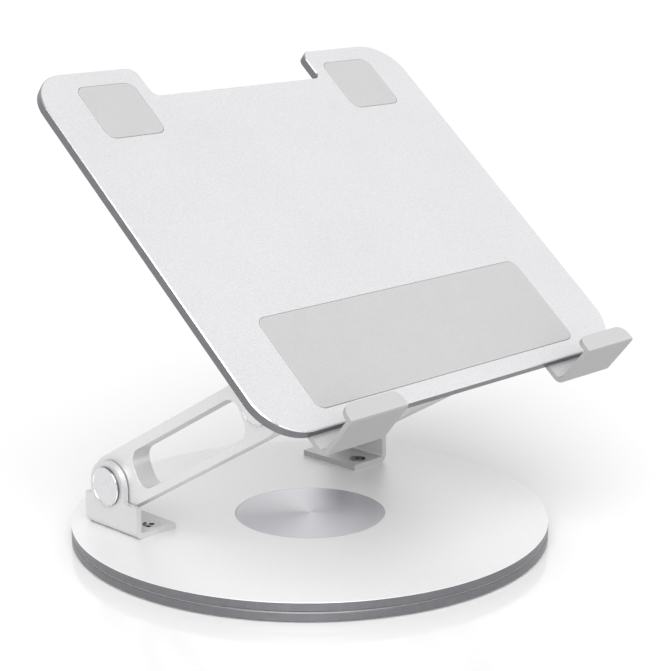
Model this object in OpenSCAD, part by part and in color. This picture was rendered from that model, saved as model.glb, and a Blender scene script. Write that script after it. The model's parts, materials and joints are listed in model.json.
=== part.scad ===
// Folding tablet stand: a tray on two friction-hinged arms, standing on a swivelling round base.
// Millimetres. +X right, -Y towards the user, +Z up.
// The origin is the centre of the base, on the surface that the stand rests on.

/* [Base] */
// Diameter of both base discs
base_d = 200; // [190:1:240]
// Thickness of each base disc
disc_t = 3.55; // [3.4:0.05:4]
// Gap between the fixed disc and the turntable disc
disc_gap = 0.4; // [0.3:0.05:0.5]
// Chamfer on the rims of the discs
disc_chamfer = 0.35; // [0.2:0.05:0.5]
// Height by which the anti-slip mat stands out below the fixed disc
mat_proud = 0.8; // [0.5:0.1:1]
// Diameter of the anti-slip mat
mat_d = 188; // [170:1:188]
// Diameter of the brushed inlay at the centre of the turntable
inlay_d = 63.2; // [50:0.1:70]

/* [Swivel bearing] */
// Diameter of the circle that the balls run on
ball_pcd = 84; // [82:1:90]
// Ball diameter
ball_d = 2.5; // [2:0.1:2.6]
// Number of balls
ball_count = 24; // [12:1:30]
// Radius of the centre bolt's shank
bolt_r = 5; // [4:0.1:6]

/* [Base brackets] */
// Distance from the middle of the stand to a bracket's outer face
bracket_x = 73.6; // [60:0.1:76]
// Sheet thickness of all the brackets
sheet_t = 2.5; // [2:0.1:3]
// Length of a bracket's foot, front to back
foot_len = 32.8; // [30:0.1:40]
// Width of a bracket's foot, sideways
foot_w = 20.6; // [18:0.1:24]
// Distance from the middle of the base back to the lower hinge axis
hinge_back = 43.6; // [30:0.1:50]
// Height of the lower hinge axis above the turntable
hinge_rise = 18.9; // [16:0.1:24]
// Radius of a bracket's round ear
ear_r = 10.5; // [9.5:0.1:12]
// Height of the straight shoulders beside the ear
shoulder_h = 13.5; // [8:0.1:15]

/* [Arms] */
// Distance between an arm's two hinge axes
arm_len = 100.5; // [80:0.5:120]
// Width of an arm, across its side face
arm_w = 24.4; // [22:0.1:28]
// Thickness of an arm, sideways
arm_t = 9; // [7:0.1:10]
// Slope of the arms above the horizontal
arm_angle = 30.4; // [20:0.1:40]
// Length of an arm's window
window_len = 73.6; // [50:0.1:74]
// Width of an arm's window
window_w = 16.4; // [12:0.1:18]
// Distance from the lower hinge axis to the window
window_start = 17.4; // [15:0.1:20]
// Radius of the window's corners
window_r = 6; // [3:0.1:8]

/* [Hinges] */
// Radius of the hinge pins
pin_r = 3; // [2.5:0.1:3.5]
// Radius of the chrome caps on the lower hinges
lower_cap_r = 8.2; // [7:0.1:9]
// Radius of the chrome caps on the upper hinges
upper_cap_r = 7.2; // [6.5:0.1:9]
// Height of a chrome cap
cap_h = 2; // [1.8:0.1:2.4]

/* [Tray] */
// Width of the tray
tray_w = 199.7; // [180:0.1:220]
// Depth of the tray, front edge to the top of its lobes
tray_depth = 179.2; // [160:0.1:200]
// Thickness of the tray
tray_t = 4.1; // [3.6:0.1:5]
// Slope of the tray
tray_angle = 39.7; // [20:0.1:60]
// Radius of the tray's front corners
front_r = 19; // [10:0.5:30]
// Radius of the outer corners of the lobes
lobe_r = 17; // [10:0.5:24]
// Depth of the notch between the lobes
notch_depth = 16; // [8:0.5:20]
// Width of the notch along its floor
notch_w = 92.4; // [60:0.1:110]
// Distance up the tray from its front edge to the upper hinge axis
pivot_up = 31.1; // [25:0.1:60]
// Distance from the tray's face down to the upper hinge axis
pivot_drop = 28.9; // [24:0.1:34]

/* [Pads] */
// Width of the long front pad
pad_w = 147; // [100:1:160]
// Depth of the long front pad
pad_depth = 43; // [30:0.5:50]
// Distance from the tray's front edge to the front pad
pad_start = 7.5; // [6:0.5:15]
// Width of a small pad
small_pad_w = 28; // [18:0.5:30]
// Depth of a small pad
small_pad_depth = 27.5; // [18:0.5:29]
// Distance from the middle of the tray to the middle of a small pad
small_pad_x = 67; // [60:0.1:72]
// Distance up the tray to the middle of a small pad
small_pad_y = 157.4; // [150:0.1:160]
// Radius of the pads' corners
pad_r = 4; // [2:0.1:6]
// Height by which the pads stand out of the tray
pad_proud = 0.2; // [0.1:0.05:0.5]

/* [Hooks] */
// Distance from the middle of the tray to the middle of a hook
hook_x = 67.2; // [55:0.1:72]
// Width of a hook
hook_w = 29; // [20:0.1:34]
// Sheet thickness of a hook
hook_t = 2; // [1.6:0.1:2.5]
// Distance from the tray's front edge to a hook's outer face
hook_reach = 9.5; // [8:0.1:14]
// Height of a hook's lip above the tray's face
hook_h = 17; // [12:0.1:24]
// Depth of a hook's lip
lip_depth = 7.5; // [5:0.1:10]
// Length of a hook's tab under the tray
tab_len = 18; // [14:0.5:19]

/* [Hidden] */
$fn = 96;

play = 0.05;              // radial and side clearance at everything that turns
cut = 1;                  // extra length that carries a cut past a face

// Heights through the base
lower_z = mat_proud;
lower_top = lower_z + disc_t;
upper_z = lower_top + disc_gap;
upper_top = upper_z + disc_t;
mid_z = (lower_top + upper_z) / 2;
mat_t = 1.2;
bolt_head_r = 9;
bolt_head_t = 1.2;
bolt_head_z = mat_t;
inlay_t = 1.2;
nut_pocket_r = 11;
nut_pocket_floor = 0.9;   // turntable left under the nut's pocket
nut_pocket_z = upper_z + nut_pocket_floor;
nut_r = 9;
nut_t = 0.95;
spanner_hole_r = 0.8;
spanner_hole_place = 7;   // distance of a spanner hole from the nut's axis
swivel_washer_t = 0.4;
nut_z = nut_pocket_z + play + swivel_washer_t;

// Bearing
ball_r = ball_d / 2;
race_face = 0.4;          // distance from the balls' middle plane to a race's face
race_t = 1.6;
race_half_w = 4;
cage_half_t = 0.25;
cage_half_w = 2.8;
cage_play = 0.07;         // radial clearance of a ball in the cage

// Sideways stack of a hinge, from the outside in
washer_t = 0.4;
washer_r = 8;
spring_t = 1.2;
spring_wall = 0.6;
spring_r = 7;
ear_in = bracket_x - sheet_t;
arm_out = ear_in - washer_t - play;
arm_in = arm_out - arm_t;
lower_nut_x = arm_in - play - washer_t - spring_t;
tray_ear_out = arm_in - play - washer_t;
tray_ear_in = tray_ear_out - sheet_t;
upper_nut_x = tray_ear_in - spring_t;
nut_af = 10;
nut_w = 4;
pin_tail = 1;
head_r = 5.5;
head_t = 0.8;
cap_edge = 0.5;           // bevel of a chrome cap's rim, and depth of the dish inside it
cap_rim = 0.8;            // width of the rim's flat top

// Feet of the base brackets
foot_y = hinge_back - 18.5;   // front end of a foot
bend_r = 0.8;                 // inner radius of a bend in the brackets' sheet

// Hinge axes
lower_axis = [0, hinge_back, upper_top + hinge_rise];
upper_axis = lower_axis + arm_len * [0, -cos(arm_angle), sin(arm_angle)];

// Fasteners
screw_r = 2;
screw_head_r = 3.8;
screw_head_t = 1.9;
hex_af = 2.5;
hex_floor = 0.5;          // solid left under a hexagon socket, above the cone's end
small_screw_r = 1.5;
small_head_r = 2.8;
small_head_t = 1.3;
base_screw_x = 61;
base_screw_step = 21;
base_screw_len = 5;
tray_screw_len = 4.4;
tray_screw_in = 13;
tray_screw_step = 22;
hook_screw_step = 14;
hook_screw_y = 9;
hook_screw_len = 3.8;
screw_end_gap = 0.1;

// Arms
window_shift = -0.4;      // the window sits this far below the arm's middle line

// Tray
lobe_inner_r = 5;
lobe_slope = 89;          // angle between a notch's side and its floor
notch_fillet = 3;
arc_steps = 12;
pad_t = 1;
pad_gap = 0.2;
tab_inset = 1;
hook_bend_r = 4;
lip_corner_r = 4;
tray_foot_len = 34;
tray_foot_w = 20;
tray_foot_y = tab_len + 1.5 + tray_foot_len / 2;   // middle of the foot, clear of the hook's tab
tray_shoulder_h = 8;

anodised = "#dedede";
tray_white = "#ebebec";
rubber_grey = "#d6d6d6";
edge_grey = "#86868a";
chrome = "#f2f2f4";
steel = "#b9babd";
nylon = "#c9c9c4";

// ---------- shared shapes ----------

// A ring or disc standing on z, with an optional bore
module ring(r, h, bore = 0) {
    difference() {
        cylinder(r = r, h = h);
        if (bore > 0) translate([0, 0, -cut]) cylinder(r = bore, h = h + 2 * cut);
    }
}

// The same, along +X from x
module ring_x(x, r, h, bore = 0) {
    translate([x, 0, 0]) rotate([0, 90, 0]) ring(r, h, bore);
}

// A rectangle with true round corners, centred
module round_rect(w, d, r) {
    square([w - 2 * r, d], center = true);
    square([w, d - 2 * r], center = true);
    for (x = [-1, 1], y = [-1, 1]) translate([x * (w / 2 - r), y * (d / 2 - r)]) circle(r);
}

// What a round of radius r leaves of the corner p between edges that run off at the angles a and b
module corner_web(p, a, b, r) {
    half = (b - a) / 2;
    mid = (a + b) / 2;
    centre = p + r / sin(half) * [cos(mid), sin(mid)];
    reach = r / tan(half);
    difference() {
        polygon([p - cut * [cos(mid), sin(mid)], p + reach * [cos(a), sin(a)], centre,
                 p + reach * [cos(b), sin(b)]]);
        translate(centre) circle(r);
    }
}

// The quarter plane x < 0, y > 0 up to w by h, with its corner at the origin rounded
module corner_block(w, h, r) {
    translate([-w, r]) square([w, h - r]);
    translate([-w, 0]) square([w - r, h]);
    translate([-r, r]) circle(r);
}

// Section of a bent sheet: a foot along -x and an ear along +y
module bent_section(w, h, t, r) {
    difference() {
        corner_block(w, h, r + t);
        translate([-t, t]) corner_block(w + cut, h + cut, r);
    }
}

// Turns an outline drawn in (Y, Z) into a plate that spans x to x + t
module side_plate(x, t) {
    translate([x, 0, 0]) rotate([90, 0, 90]) linear_extrude(t) children();
}

// Turns a section drawn in (X, Z) into a bar that spans y to y + len
module front_bar(y, len) {
    translate([0, y + len, 0]) rotate([90, 0, 0]) linear_extrude(len) children();
}

// Screw with a countersunk head, its flat top at z = 0 and its shank pointing down
module flat_screw(r, len, head, head_t) {
    difference() {
        union() {
            translate([0, 0, -head_t]) cylinder(r1 = r, r2 = head, h = head_t);
            translate([0, 0, -len]) cylinder(r = r, h = len);
        }
        translate([0, 0, -head_t + hex_floor]) cylinder(r = hex_af / sqrt(3), h = head_t, $fn = 6);
    }
}

// Straight and countersunk holes for that screw, open at the top
module screw_hole(r, len) {
    translate([0, 0, -len]) cylinder(r = r + play, h = len + cut);
}

module flat_screw_hole(r, len, head, head_t) {
    screw_hole(r, len);
    translate([0, 0, -head_t]) cylinder(r1 = r + play, r2 = head + play, h = head_t);
    cylinder(r = head + play, h = cut);
}

// The left piece is the right one mirrored
module left() {
    mirror([1, 0, 0]) children();
}

module both() {
    children();
    mirror([1, 0, 0]) children();
}

// Frames: y along the arm from -Y, y up the tray from its front edge with z = 0 on its face
module in_arm() {
    translate(lower_axis) rotate([-arm_angle, 0, 0]) children();
}

module in_tray() {
    translate(upper_axis) rotate([tray_angle, 0, 0]) translate([0, -pivot_up, pivot_drop]) children();
}

// ---------- base ----------

module disc_profile(r, z, t) {
    polygon([[0, z], [r - disc_chamfer, z], [r, z + disc_chamfer],
             [r, z + t - disc_chamfer], [r - disc_chamfer, z + t], [0, z + t]]);
}

module race_pocket(z, h) {
    translate([0, 0, z]) ring(ball_pcd / 2 + race_half_w + play, h, ball_pcd / 2 - race_half_w - play);
}

module base_mat() {
    color(edge_grey) cylinder(r = mat_d / 2, h = mat_t, $fn = 180);
}

module lower_disc() {
    color(edge_grey) difference() {
        rotate_extrude($fn = 240) disc_profile(base_d / 2, lower_z, disc_t);
        translate([0, 0, lower_z - cut]) cylinder(r = mat_d / 2 + play, h = mat_t - lower_z + cut);
        translate([0, 0, lower_z]) cylinder(r = bolt_r + play, h = disc_t + cut);
        translate([0, 0, lower_z]) cylinder(r = bolt_head_r + play, h = bolt_head_z + bolt_head_t - lower_z);
        race_pocket(mid_z - race_face - race_t, race_t + cut);
    }
}

module race(z) {
    difference() {
        translate([0, 0, z]) ring(ball_pcd / 2 + race_half_w, race_t, ball_pcd / 2 - race_half_w);
        translate([0, 0, mid_z]) rotate_extrude() translate([ball_pcd / 2, 0]) circle(ball_r + play);
    }
}

module lower_race() {
    color(steel) race(mid_z - race_face - race_t);
}

module upper_race() {
    color(steel) race(mid_z + race_face);
}

module swivel_bolt() {
    color(steel) {
        translate([0, 0, bolt_head_z]) cylinder(r = bolt_head_r, h = bolt_head_t);
        translate([0, 0, bolt_head_z]) cylinder(r = bolt_r, h = nut_z + nut_t - bolt_head_z);
    }
}

module swivel_washer() {
    color(nylon) translate([0, 0, nut_z - swivel_washer_t]) ring(nut_r, swivel_washer_t, bolt_r + play);
}

module swivel_nut() {
    color(steel) translate([0, 0, nut_z]) difference() {
        ring(nut_r, nut_t, bolt_r + play);
        for (a = [0, 180]) rotate(a) translate([spanner_hole_place, 0, -cut])
            cylinder(r = spanner_hole_r, h = nut_t + 2 * cut);
    }
}

module on_ball_circle() {
    for (i = [0 : ball_count - 1]) rotate(i * 360 / ball_count)
        translate([ball_pcd / 2, 0, mid_z]) children();
}

module bearing_cage() {
    color("#e8e4d6") difference() {
        translate([0, 0, mid_z - cage_half_t])
            ring(ball_pcd / 2 + cage_half_w, 2 * cage_half_t, ball_pcd / 2 - cage_half_w);
        on_ball_circle() translate([0, 0, -cut]) cylinder(r = ball_r + cage_play, h = 2 * cut, $fn = 48);
    }
}

module bearing_balls() {
    color(chrome) on_ball_circle() sphere(r = ball_r, $fn = 48);
}

module upper_disc() {
    color("#f0f0f0") difference() {
        rotate_extrude($fn = 240) disc_profile(base_d / 2, upper_z, disc_t);
        translate([0, 0, upper_top - inlay_t]) cylinder(r = inlay_d / 2 + play, h = inlay_t + cut, $fn = 180);
        translate([0, 0, nut_pocket_z]) cylinder(r = nut_pocket_r, h = disc_t);
        translate([0, 0, upper_z - cut]) cylinder(r = bolt_r + play, h = disc_t);
        race_pocket(upper_z - cut, mid_z + race_face + race_t - upper_z + cut);
        both() base_screw_places() screw_hole(screw_r, base_screw_len - sheet_t);
    }
}

module centre_inlay() {
    color("#c2c2c2") translate([0, 0, upper_top - inlay_t]) cylinder(r = inlay_d / 2, h = inlay_t, $fn = 180);
}

// ---------- base brackets and lower hinges ----------

// Children stand on the turntable at the two screws of the right foot
module base_screw_places() {
    for (y = [-1, 1])
        translate([base_screw_x, foot_y + foot_len / 2 + y * base_screw_step / 2, upper_top]) children();
}

// Side outline of an ear above its foot, in (Y, Z) from the foot's underside
module ear_outline(y0, len, y_axis, rise, r, shoulder) {
    translate([y0, 0]) square([len, shoulder]);
    translate([y_axis - r, 0]) square([2 * r, rise]);
    translate([y_axis, rise]) circle(r);
}

module base_bracket() {
    color(anodised) difference() {
        intersection() {
            translate([0, 0, upper_top])
                side_plate(bracket_x - foot_w, foot_w)
                    ear_outline(foot_y, foot_len, hinge_back, hinge_rise, ear_r, shoulder_h);
            front_bar(foot_y - cut, foot_len + 2 * cut)
                translate([bracket_x, upper_top])
                    bent_section(foot_w, hinge_rise + ear_r + cut, sheet_t, bend_r);
        }
        translate(lower_axis) ring_x(ear_in - cut, pin_r + play, sheet_t + 2 * cut);
        base_screw_places() translate([0, 0, sheet_t])
            flat_screw_hole(screw_r, sheet_t + cut, screw_head_r, screw_head_t);
    }
}

module right_base_bracket() { base_bracket(); }
module left_base_bracket() { left() base_bracket(); }

module base_bracket_screws() {
    color(steel) both() base_screw_places() translate([0, 0, sheet_t])
        flat_screw(screw_r, base_screw_len, screw_head_r, screw_head_t);
}

// Pin with a low head outside x_head and a tail that ends at x_tail
module hinge_pin(x_head, x_tail) {
    color(steel) {
        ring_x(x_head, head_r, head_t);
        ring_x(x_tail, pin_r, x_head - x_tail);
    }
}

// Hollow chrome cap that hides a pin's head
module hinge_cap(x, r) {
    dish_r = r - cap_edge - cap_rim;
    color(chrome) translate([x, 0, 0]) rotate([0, 90, 0]) rotate_extrude()
        polygon([[0, head_t + play], [head_r + play, head_t + play], [head_r + play, 0], [r, 0],
                 [r, cap_h - cap_edge], [r - cap_edge, cap_h], [dish_r, cap_h],
                 [dish_r - 1.4 * cap_edge, cap_h - cap_edge], [0, cap_h - cap_edge]]);
}

// Domed spring washer between x and x + spring_t
module spring_washer(x) {
    translate([x, 0, 0]) rotate([0, 90, 0]) rotate_extrude()
        polygon([[pin_r + play, 0], [pin_r + play, spring_wall], [spring_r, spring_t],
                 [spring_r, spring_t - spring_wall]]);
}

module lock_nut(x) {
    translate([x, 0, 0]) rotate([0, 90, 0]) difference() {
        cylinder(r = nut_af / sqrt(3), h = nut_w, $fn = 6);
        translate([0, 0, -cut]) cylinder(r = pin_r + play, h = nut_w + 2 * cut);
    }
}

module lower_pin() {
    translate(lower_axis) hinge_pin(bracket_x, lower_nut_x - nut_w - pin_tail);
}

module right_lower_pin() { lower_pin(); }
module left_lower_pin() { left() lower_pin(); }
module right_lower_cap() { translate(lower_axis) hinge_cap(bracket_x, lower_cap_r); }
module left_lower_cap() { left() right_lower_cap(); }

module lower_friction_washers() {
    color(nylon) both() translate(lower_axis) {
        ring_x(arm_out + play, washer_r, washer_t, pin_r + play);
        ring_x(lower_nut_x + spring_t, washer_r, washer_t, pin_r + play);
    }
}

module lower_spring_washers() {
    color(steel) both() translate(lower_axis) spring_washer(lower_nut_x);
}

module lower_lock_nuts() {
    color(steel) both() translate(lower_axis) lock_nut(lower_nut_x - nut_w);
}

// ---------- arms ----------

module arm_outline() {
    difference() {
        union() {
            translate([-arm_len, -arm_w / 2]) square([arm_len, arm_w]);
            circle(arm_w / 2);
            translate([-arm_len, 0]) circle(arm_w / 2);
        }
        translate([-window_start - window_len / 2, window_shift]) round_rect(window_len, window_w, window_r);
        circle(pin_r + play);
        translate([-arm_len, 0]) circle(pin_r + play);
    }
}

module right_arm() {
    color(anodised) in_arm() side_plate(arm_in, arm_t) arm_outline();
}

module left_arm() { left() right_arm(); }

// ---------- tray ----------

// Points along the arc that rounds the corner p, between the ways to its neighbours
function rounded_corner(p, way_in, way_out, r) =
    let(turn = way_out - way_in, side = sign(turn), mid = (way_in + way_out) / 2,
        centre = p + r / sin(abs(turn) / 2) * [cos(mid), sin(mid)],
        first = way_in - side * 90, sweep = side * (abs(turn) - 180))
    [for (i = [0 : arc_steps])
        centre + r * [cos(first + sweep * i / arc_steps), sin(first + sweep * i / arc_steps)]];

// The tray from above: a rectangle with a wide notch in its rear edge and round corners
module tray_outline() {
    w = tray_w / 2;
    foot = [notch_w / 2, tray_depth - notch_depth];
    shoulder = foot + [notch_depth / tan(lobe_slope), notch_depth];
    right = concat([[w, 0], [w, tray_depth]],
                   rounded_corner(shoulder, 360, lobe_slope + 180, lobe_inner_r),
                   rounded_corner(foot, lobe_slope, 180, notch_fillet));
    last = len(right) - 1;
    difference() {
        polygon(concat(right, [for (i = [last : -1 : 0]) [-right[i][0], right[i][1]]]));
        both() {
            corner_web([w, 0], 90, 180, front_r);
            corner_web([w, tray_depth], 180, 270, lobe_r);
        }
    }
}

// Children lie on the tray's underside at the right hook's two screws
module hook_screw_places() {
    for (x = [-1, 1])
        translate([hook_x + x * hook_screw_step / 2, hook_screw_y, -tray_t - hook_t + tab_inset])
            rotate([180, 0, 0]) children();
}

// Children lie under the right tray bracket's foot at its two screws
module tray_screw_places() {
    for (y = [-1, 1])
        translate([tray_ear_out - tray_screw_in, tray_foot_y + y * tray_screw_step / 2, -tray_t - sheet_t])
        rotate([180, 0, 0]) children();
}

module pad_places() {
    translate([0, pad_start + pad_depth / 2])
        round_rect(pad_w + 2 * $gap, pad_depth + 2 * $gap, pad_r + $gap);
    for (x = [-1, 1]) translate([x * small_pad_x, small_pad_y])
        round_rect(small_pad_w + 2 * $gap, small_pad_depth + 2 * $gap, pad_r + $gap);
}

module tray_plate() {
    color(tray_white) in_tray() difference() {
        translate([0, 0, -tray_t]) linear_extrude(tray_t) tray_outline();
        translate([0, 0, pad_proud - pad_t]) linear_extrude(pad_t) pad_places($gap = pad_gap);
        both() {
            translate([hook_x - hook_w / 2 - play, -cut, -tray_t - cut])
                cube([hook_w + 2 * play, tab_len + cut + play, cut + tab_inset]);
            hook_screw_places() screw_hole(small_screw_r, hook_screw_len + screw_end_gap);
            tray_screw_places() screw_hole(small_screw_r, tray_screw_len + play);
        }
    }
}

module pad(x, y, w, d) {
    color(rubber_grey) in_tray() translate([x, y, pad_proud - pad_t]) linear_extrude(pad_t)
        round_rect(w, d, pad_r);
}

module pad_front() { pad(0, pad_start + pad_depth / 2, pad_w, pad_depth); }
module pad_top_left() { pad(-small_pad_x, small_pad_y, small_pad_w, small_pad_depth); }
module pad_top_right() { pad(small_pad_x, small_pad_y, small_pad_w, small_pad_depth); }

// Section of a hook's tab and wall, with the wall along +y and the outer corner at the origin
module hook_section() {
    depth = hook_h + tray_t + hook_t - tab_inset;
    difference() {
        mirror([1, 0]) corner_block(tab_len + hook_reach, depth, hook_bend_r);
        translate([hook_t, hook_t]) mirror([1, 0])
            corner_block(tab_len + hook_reach + cut, depth + cut, hook_bend_r - hook_t);
    }
}

module lip_outline() {
    difference() {
        square([hook_w, lip_depth]);
        corner_web([0, lip_depth], 270, 360, lip_corner_r);
        corner_web([hook_w, lip_depth], 180, 270, lip_corner_r);
    }
}

module hook() {
    color("#cfcfcd") in_tray() difference() {
        union() {
            translate([0, -hook_reach, -tray_t - hook_t + tab_inset])
                side_plate(hook_x - hook_w / 2, hook_w) hook_section();
            translate([hook_x - hook_w / 2, -hook_reach, hook_h - hook_t]) linear_extrude(hook_t)
                lip_outline();
        }
        hook_screw_places() flat_screw_hole(small_screw_r, hook_t + cut, small_head_r, small_head_t);
    }
}

module right_hook() { hook(); }
module left_hook() { left() hook(); }

module hook_screws() {
    color(steel) both() in_tray() hook_screw_places()
        flat_screw(small_screw_r, hook_screw_len, small_head_r, small_head_t);
}

// ---------- tray brackets and upper hinges ----------

// The foot lies against the tray's underside and the ear hangs down from it
module tray_bracket() {
    drop = pivot_drop - tray_t;
    color(anodised) in_tray() difference() {
        translate([0, 0, -tray_t]) mirror([0, 0, 1]) intersection() {
            side_plate(tray_ear_out - tray_foot_w, tray_foot_w)
                ear_outline(tray_foot_y - tray_foot_len / 2, tray_foot_len, pivot_up, drop, ear_r,
                            tray_shoulder_h);
            front_bar(tray_foot_y - tray_foot_len / 2 - cut, tray_foot_len + 2 * cut)
                translate([tray_ear_out, 0]) bent_section(tray_foot_w, drop + ear_r + cut, sheet_t, bend_r);
        }
        translate([0, pivot_up, -pivot_drop]) ring_x(tray_ear_in - cut, pin_r + play, sheet_t + 2 * cut);
        tray_screw_places() flat_screw_hole(small_screw_r, sheet_t + cut, small_head_r, small_head_t);
    }
}

module right_tray_bracket() { tray_bracket(); }
module left_tray_bracket() { left() tray_bracket(); }

module tray_bracket_screws() {
    color(steel) both() in_tray() tray_screw_places()
        flat_screw(small_screw_r, tray_screw_len, small_head_r, small_head_t);
}

module upper_pin() {
    translate(upper_axis) hinge_pin(arm_out + play, upper_nut_x - nut_w - pin_tail);
}

module right_upper_pin() { upper_pin(); }
module left_upper_pin() { left() upper_pin(); }
module right_upper_cap() { translate(upper_axis) hinge_cap(arm_out + play, upper_cap_r); }
module left_upper_cap() { left() right_upper_cap(); }

module upper_friction_washers() {
    color(nylon) both() translate(upper_axis) ring_x(tray_ear_out, washer_r, washer_t, pin_r + play);
}

module upper_spring_washers() {
    color(steel) both() translate(upper_axis) spring_washer(upper_nut_x);
}

module upper_lock_nuts() {
    color(steel) both() translate(upper_axis) lock_nut(upper_nut_x - nut_w);
}

base_mat();
lower_disc();
lower_race();
swivel_bolt();
swivel_washer();
swivel_nut();
bearing_cage();
bearing_balls();
upper_disc();
upper_race();
centre_inlay();
left_base_bracket();
right_base_bracket();
base_bracket_screws();
left_lower_pin();
right_lower_pin();
left_lower_cap();
right_lower_cap();
lower_friction_washers();
lower_spring_washers();
lower_lock_nuts();
left_arm();
right_arm();
tray_plate();
pad_front();
pad_top_left();
pad_top_right();
left_hook();
right_hook();
hook_screws();
left_tray_bracket();
right_tray_bracket();
tray_bracket_screws();
left_upper_pin();
right_upper_pin();
left_upper_cap();
right_upper_cap();
upper_friction_washers();
upper_spring_washers();
upper_lock_nuts();
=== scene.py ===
"""Folding tablet stand: a hooked aluminium tray on two friction-hinged arms over a swivelling round base.

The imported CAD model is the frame. The pieces that show are modelled round it and ride on its bodies.
Lengths are in metres in the frame of the CAD model: +X right, -Y towards the user, +Z up.
"""

import json
import math

import bmesh
import bpy
from bpy.props import FloatProperty, FloatVectorProperty, PointerProperty
from mathutils import Matrix, Vector


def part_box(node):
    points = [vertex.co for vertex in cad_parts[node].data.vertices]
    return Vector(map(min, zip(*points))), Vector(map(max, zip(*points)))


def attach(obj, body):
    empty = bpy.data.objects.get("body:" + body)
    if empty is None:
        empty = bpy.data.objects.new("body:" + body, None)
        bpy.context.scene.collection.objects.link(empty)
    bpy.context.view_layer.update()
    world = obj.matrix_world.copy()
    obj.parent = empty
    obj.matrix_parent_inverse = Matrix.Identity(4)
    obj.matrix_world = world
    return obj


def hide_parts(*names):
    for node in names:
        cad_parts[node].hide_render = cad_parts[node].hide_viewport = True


bl_info = {
    "name": "Folding tablet stand",
    "version": (1, 0, 0),
    "blender": (4, 5, 0),
    "location": "View3D > Sidebar > Stand",
    "description": "Models a folding tablet stand round its packed CAD frame",
    "category": "Object",
}

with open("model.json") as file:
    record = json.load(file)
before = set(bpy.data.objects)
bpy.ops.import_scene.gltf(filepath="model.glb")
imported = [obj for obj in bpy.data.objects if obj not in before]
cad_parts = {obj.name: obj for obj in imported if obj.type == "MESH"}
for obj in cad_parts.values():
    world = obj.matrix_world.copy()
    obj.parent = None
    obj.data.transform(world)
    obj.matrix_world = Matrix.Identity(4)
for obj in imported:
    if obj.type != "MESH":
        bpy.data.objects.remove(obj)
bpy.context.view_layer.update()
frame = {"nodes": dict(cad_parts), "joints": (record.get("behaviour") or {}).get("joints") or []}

MM = 0.001
AXES = {joint["name"]: Vector(joint["pos_m"]) for joint in frame["joints"]}
LOWER_AXIS = AXES["arm_tilt"]
UPPER_AXIS = AXES["tray_tilt"]
REACH = UPPER_AXIS - LOWER_AXIS
ARM_LENGTH = REACH.length
ARM_SLOPE = math.atan2(REACH.z, -REACH.y)

FIXED_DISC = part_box("lower_disc")
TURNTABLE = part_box("upper_disc")
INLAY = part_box("centre_inlay")
BASE_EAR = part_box("right_base_bracket")
TRAY_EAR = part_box("right_tray_bracket")
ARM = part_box("right_arm")
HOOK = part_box("right_hook")
LOWER_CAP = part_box("right_lower_cap")
UPPER_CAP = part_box("right_upper_cap")
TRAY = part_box("tray_plate")
FRONT_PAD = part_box("pad_front")
SMALL_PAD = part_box("pad_top_right")

SMOOTH_ANGLE = math.radians(32)
MERGE = 1e-6
SEED = 0.001  # side of the square that a drawn line starts from
PLAY = 0.05 * MM
OVERCUT = 1 * MM  # length that carries a cutter past a face
# The pale fans of the spun disc are painted highlights, fixed to the disc.
PAINTED_FAN_TURN = -2 * math.radians(80)  # turns the pale fans of the spun disc to 80 degrees from +X


# ---------- modelling by hand ----------


def select_none():
    if bpy.context.object and bpy.context.object.mode != "OBJECT":
        bpy.ops.object.mode_set(mode="OBJECT")
    bpy.ops.object.select_all(action="DESELECT")


def select_only(piece):
    select_none()
    piece.select_set(True)
    bpy.context.view_layer.objects.active = piece


def rounded(corners):
    """The closed outline through corners (u, v, radius), with an arc at each corner that has a radius"""
    outline = []
    for i, (u, v, radius) in enumerate(corners):
        here = Vector((u, v))
        before = Vector(corners[i - 1][:2]) - here
        after = Vector(corners[(i + 1) % len(corners)][:2]) - here
        if radius == 0:
            outline.append(here)
            continue
        before.normalize()
        after.normalize()
        half = before.angle(after) / 2
        centre = here + (before + after).normalized() * radius / math.sin(half)
        first = here + before * radius / math.tan(half) - centre
        last = here + after * radius / math.tan(half) - centre
        turn = math.atan2(first.x * last.y - first.y * last.x, first.dot(last))
        steps = 6 + round(radius / MM)
        for step in range(steps + 1):
            point = centre + Matrix.Rotation(turn * step / steps, 2) @ first
            if not outline or (point - outline[-1]).length > MERGE:
                outline.append(point)
    if (outline[0] - outline[-1]).length < MERGE:
        outline.pop()
    return outline


def box_outline(u0, v0, u1, v1, radius=0.0):
    return rounded([(u0, v0, radius), (u1, v0, radius), (u1, v1, radius), (u0, v1, radius)])


def draw(name, points):
    """Starts a piece: pulls one vertex along the points and leaves the line selected in edit mode"""
    select_none()
    bpy.ops.mesh.primitive_plane_add(size=SEED, location=(0, 0, 0))
    piece = bpy.context.object
    piece.name = piece.data.name = name
    bpy.ops.object.mode_set(mode="EDIT")
    bpy.ops.mesh.merge(type="CENTER")
    bpy.ops.transform.translate(value=points[0])
    for here, there in zip(points, points[1:]):
        bpy.ops.mesh.extrude_vertices_move(TRANSFORM_OT_translate={"value": there - here})
    bpy.ops.mesh.select_all(action="SELECT")
    return piece


def point_outwards():
    bpy.ops.mesh.select_all(action="SELECT")
    bpy.ops.mesh.remove_doubles(threshold=MERGE)
    bpy.ops.mesh.normals_make_consistent(inside=False)
    bpy.ops.object.mode_set(mode="OBJECT")


def prism(name, points, lift):
    """A solid whose outline runs through the points, pulled out by lift"""
    piece = draw(name, points)
    bpy.ops.mesh.edge_face_add()
    bpy.ops.mesh.extrude_region_move(TRANSFORM_OT_translate={"value": lift})
    point_outwards()
    return piece


def on_floor(outline, z):
    return [Vector((u, v, z)) for u, v in outline]


def on_side(outline, x):
    return [Vector((x, u, v)) for u, v in outline]


def on_front(outline, y):
    return [Vector((u, y, v)) for u, v in outline]


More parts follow.
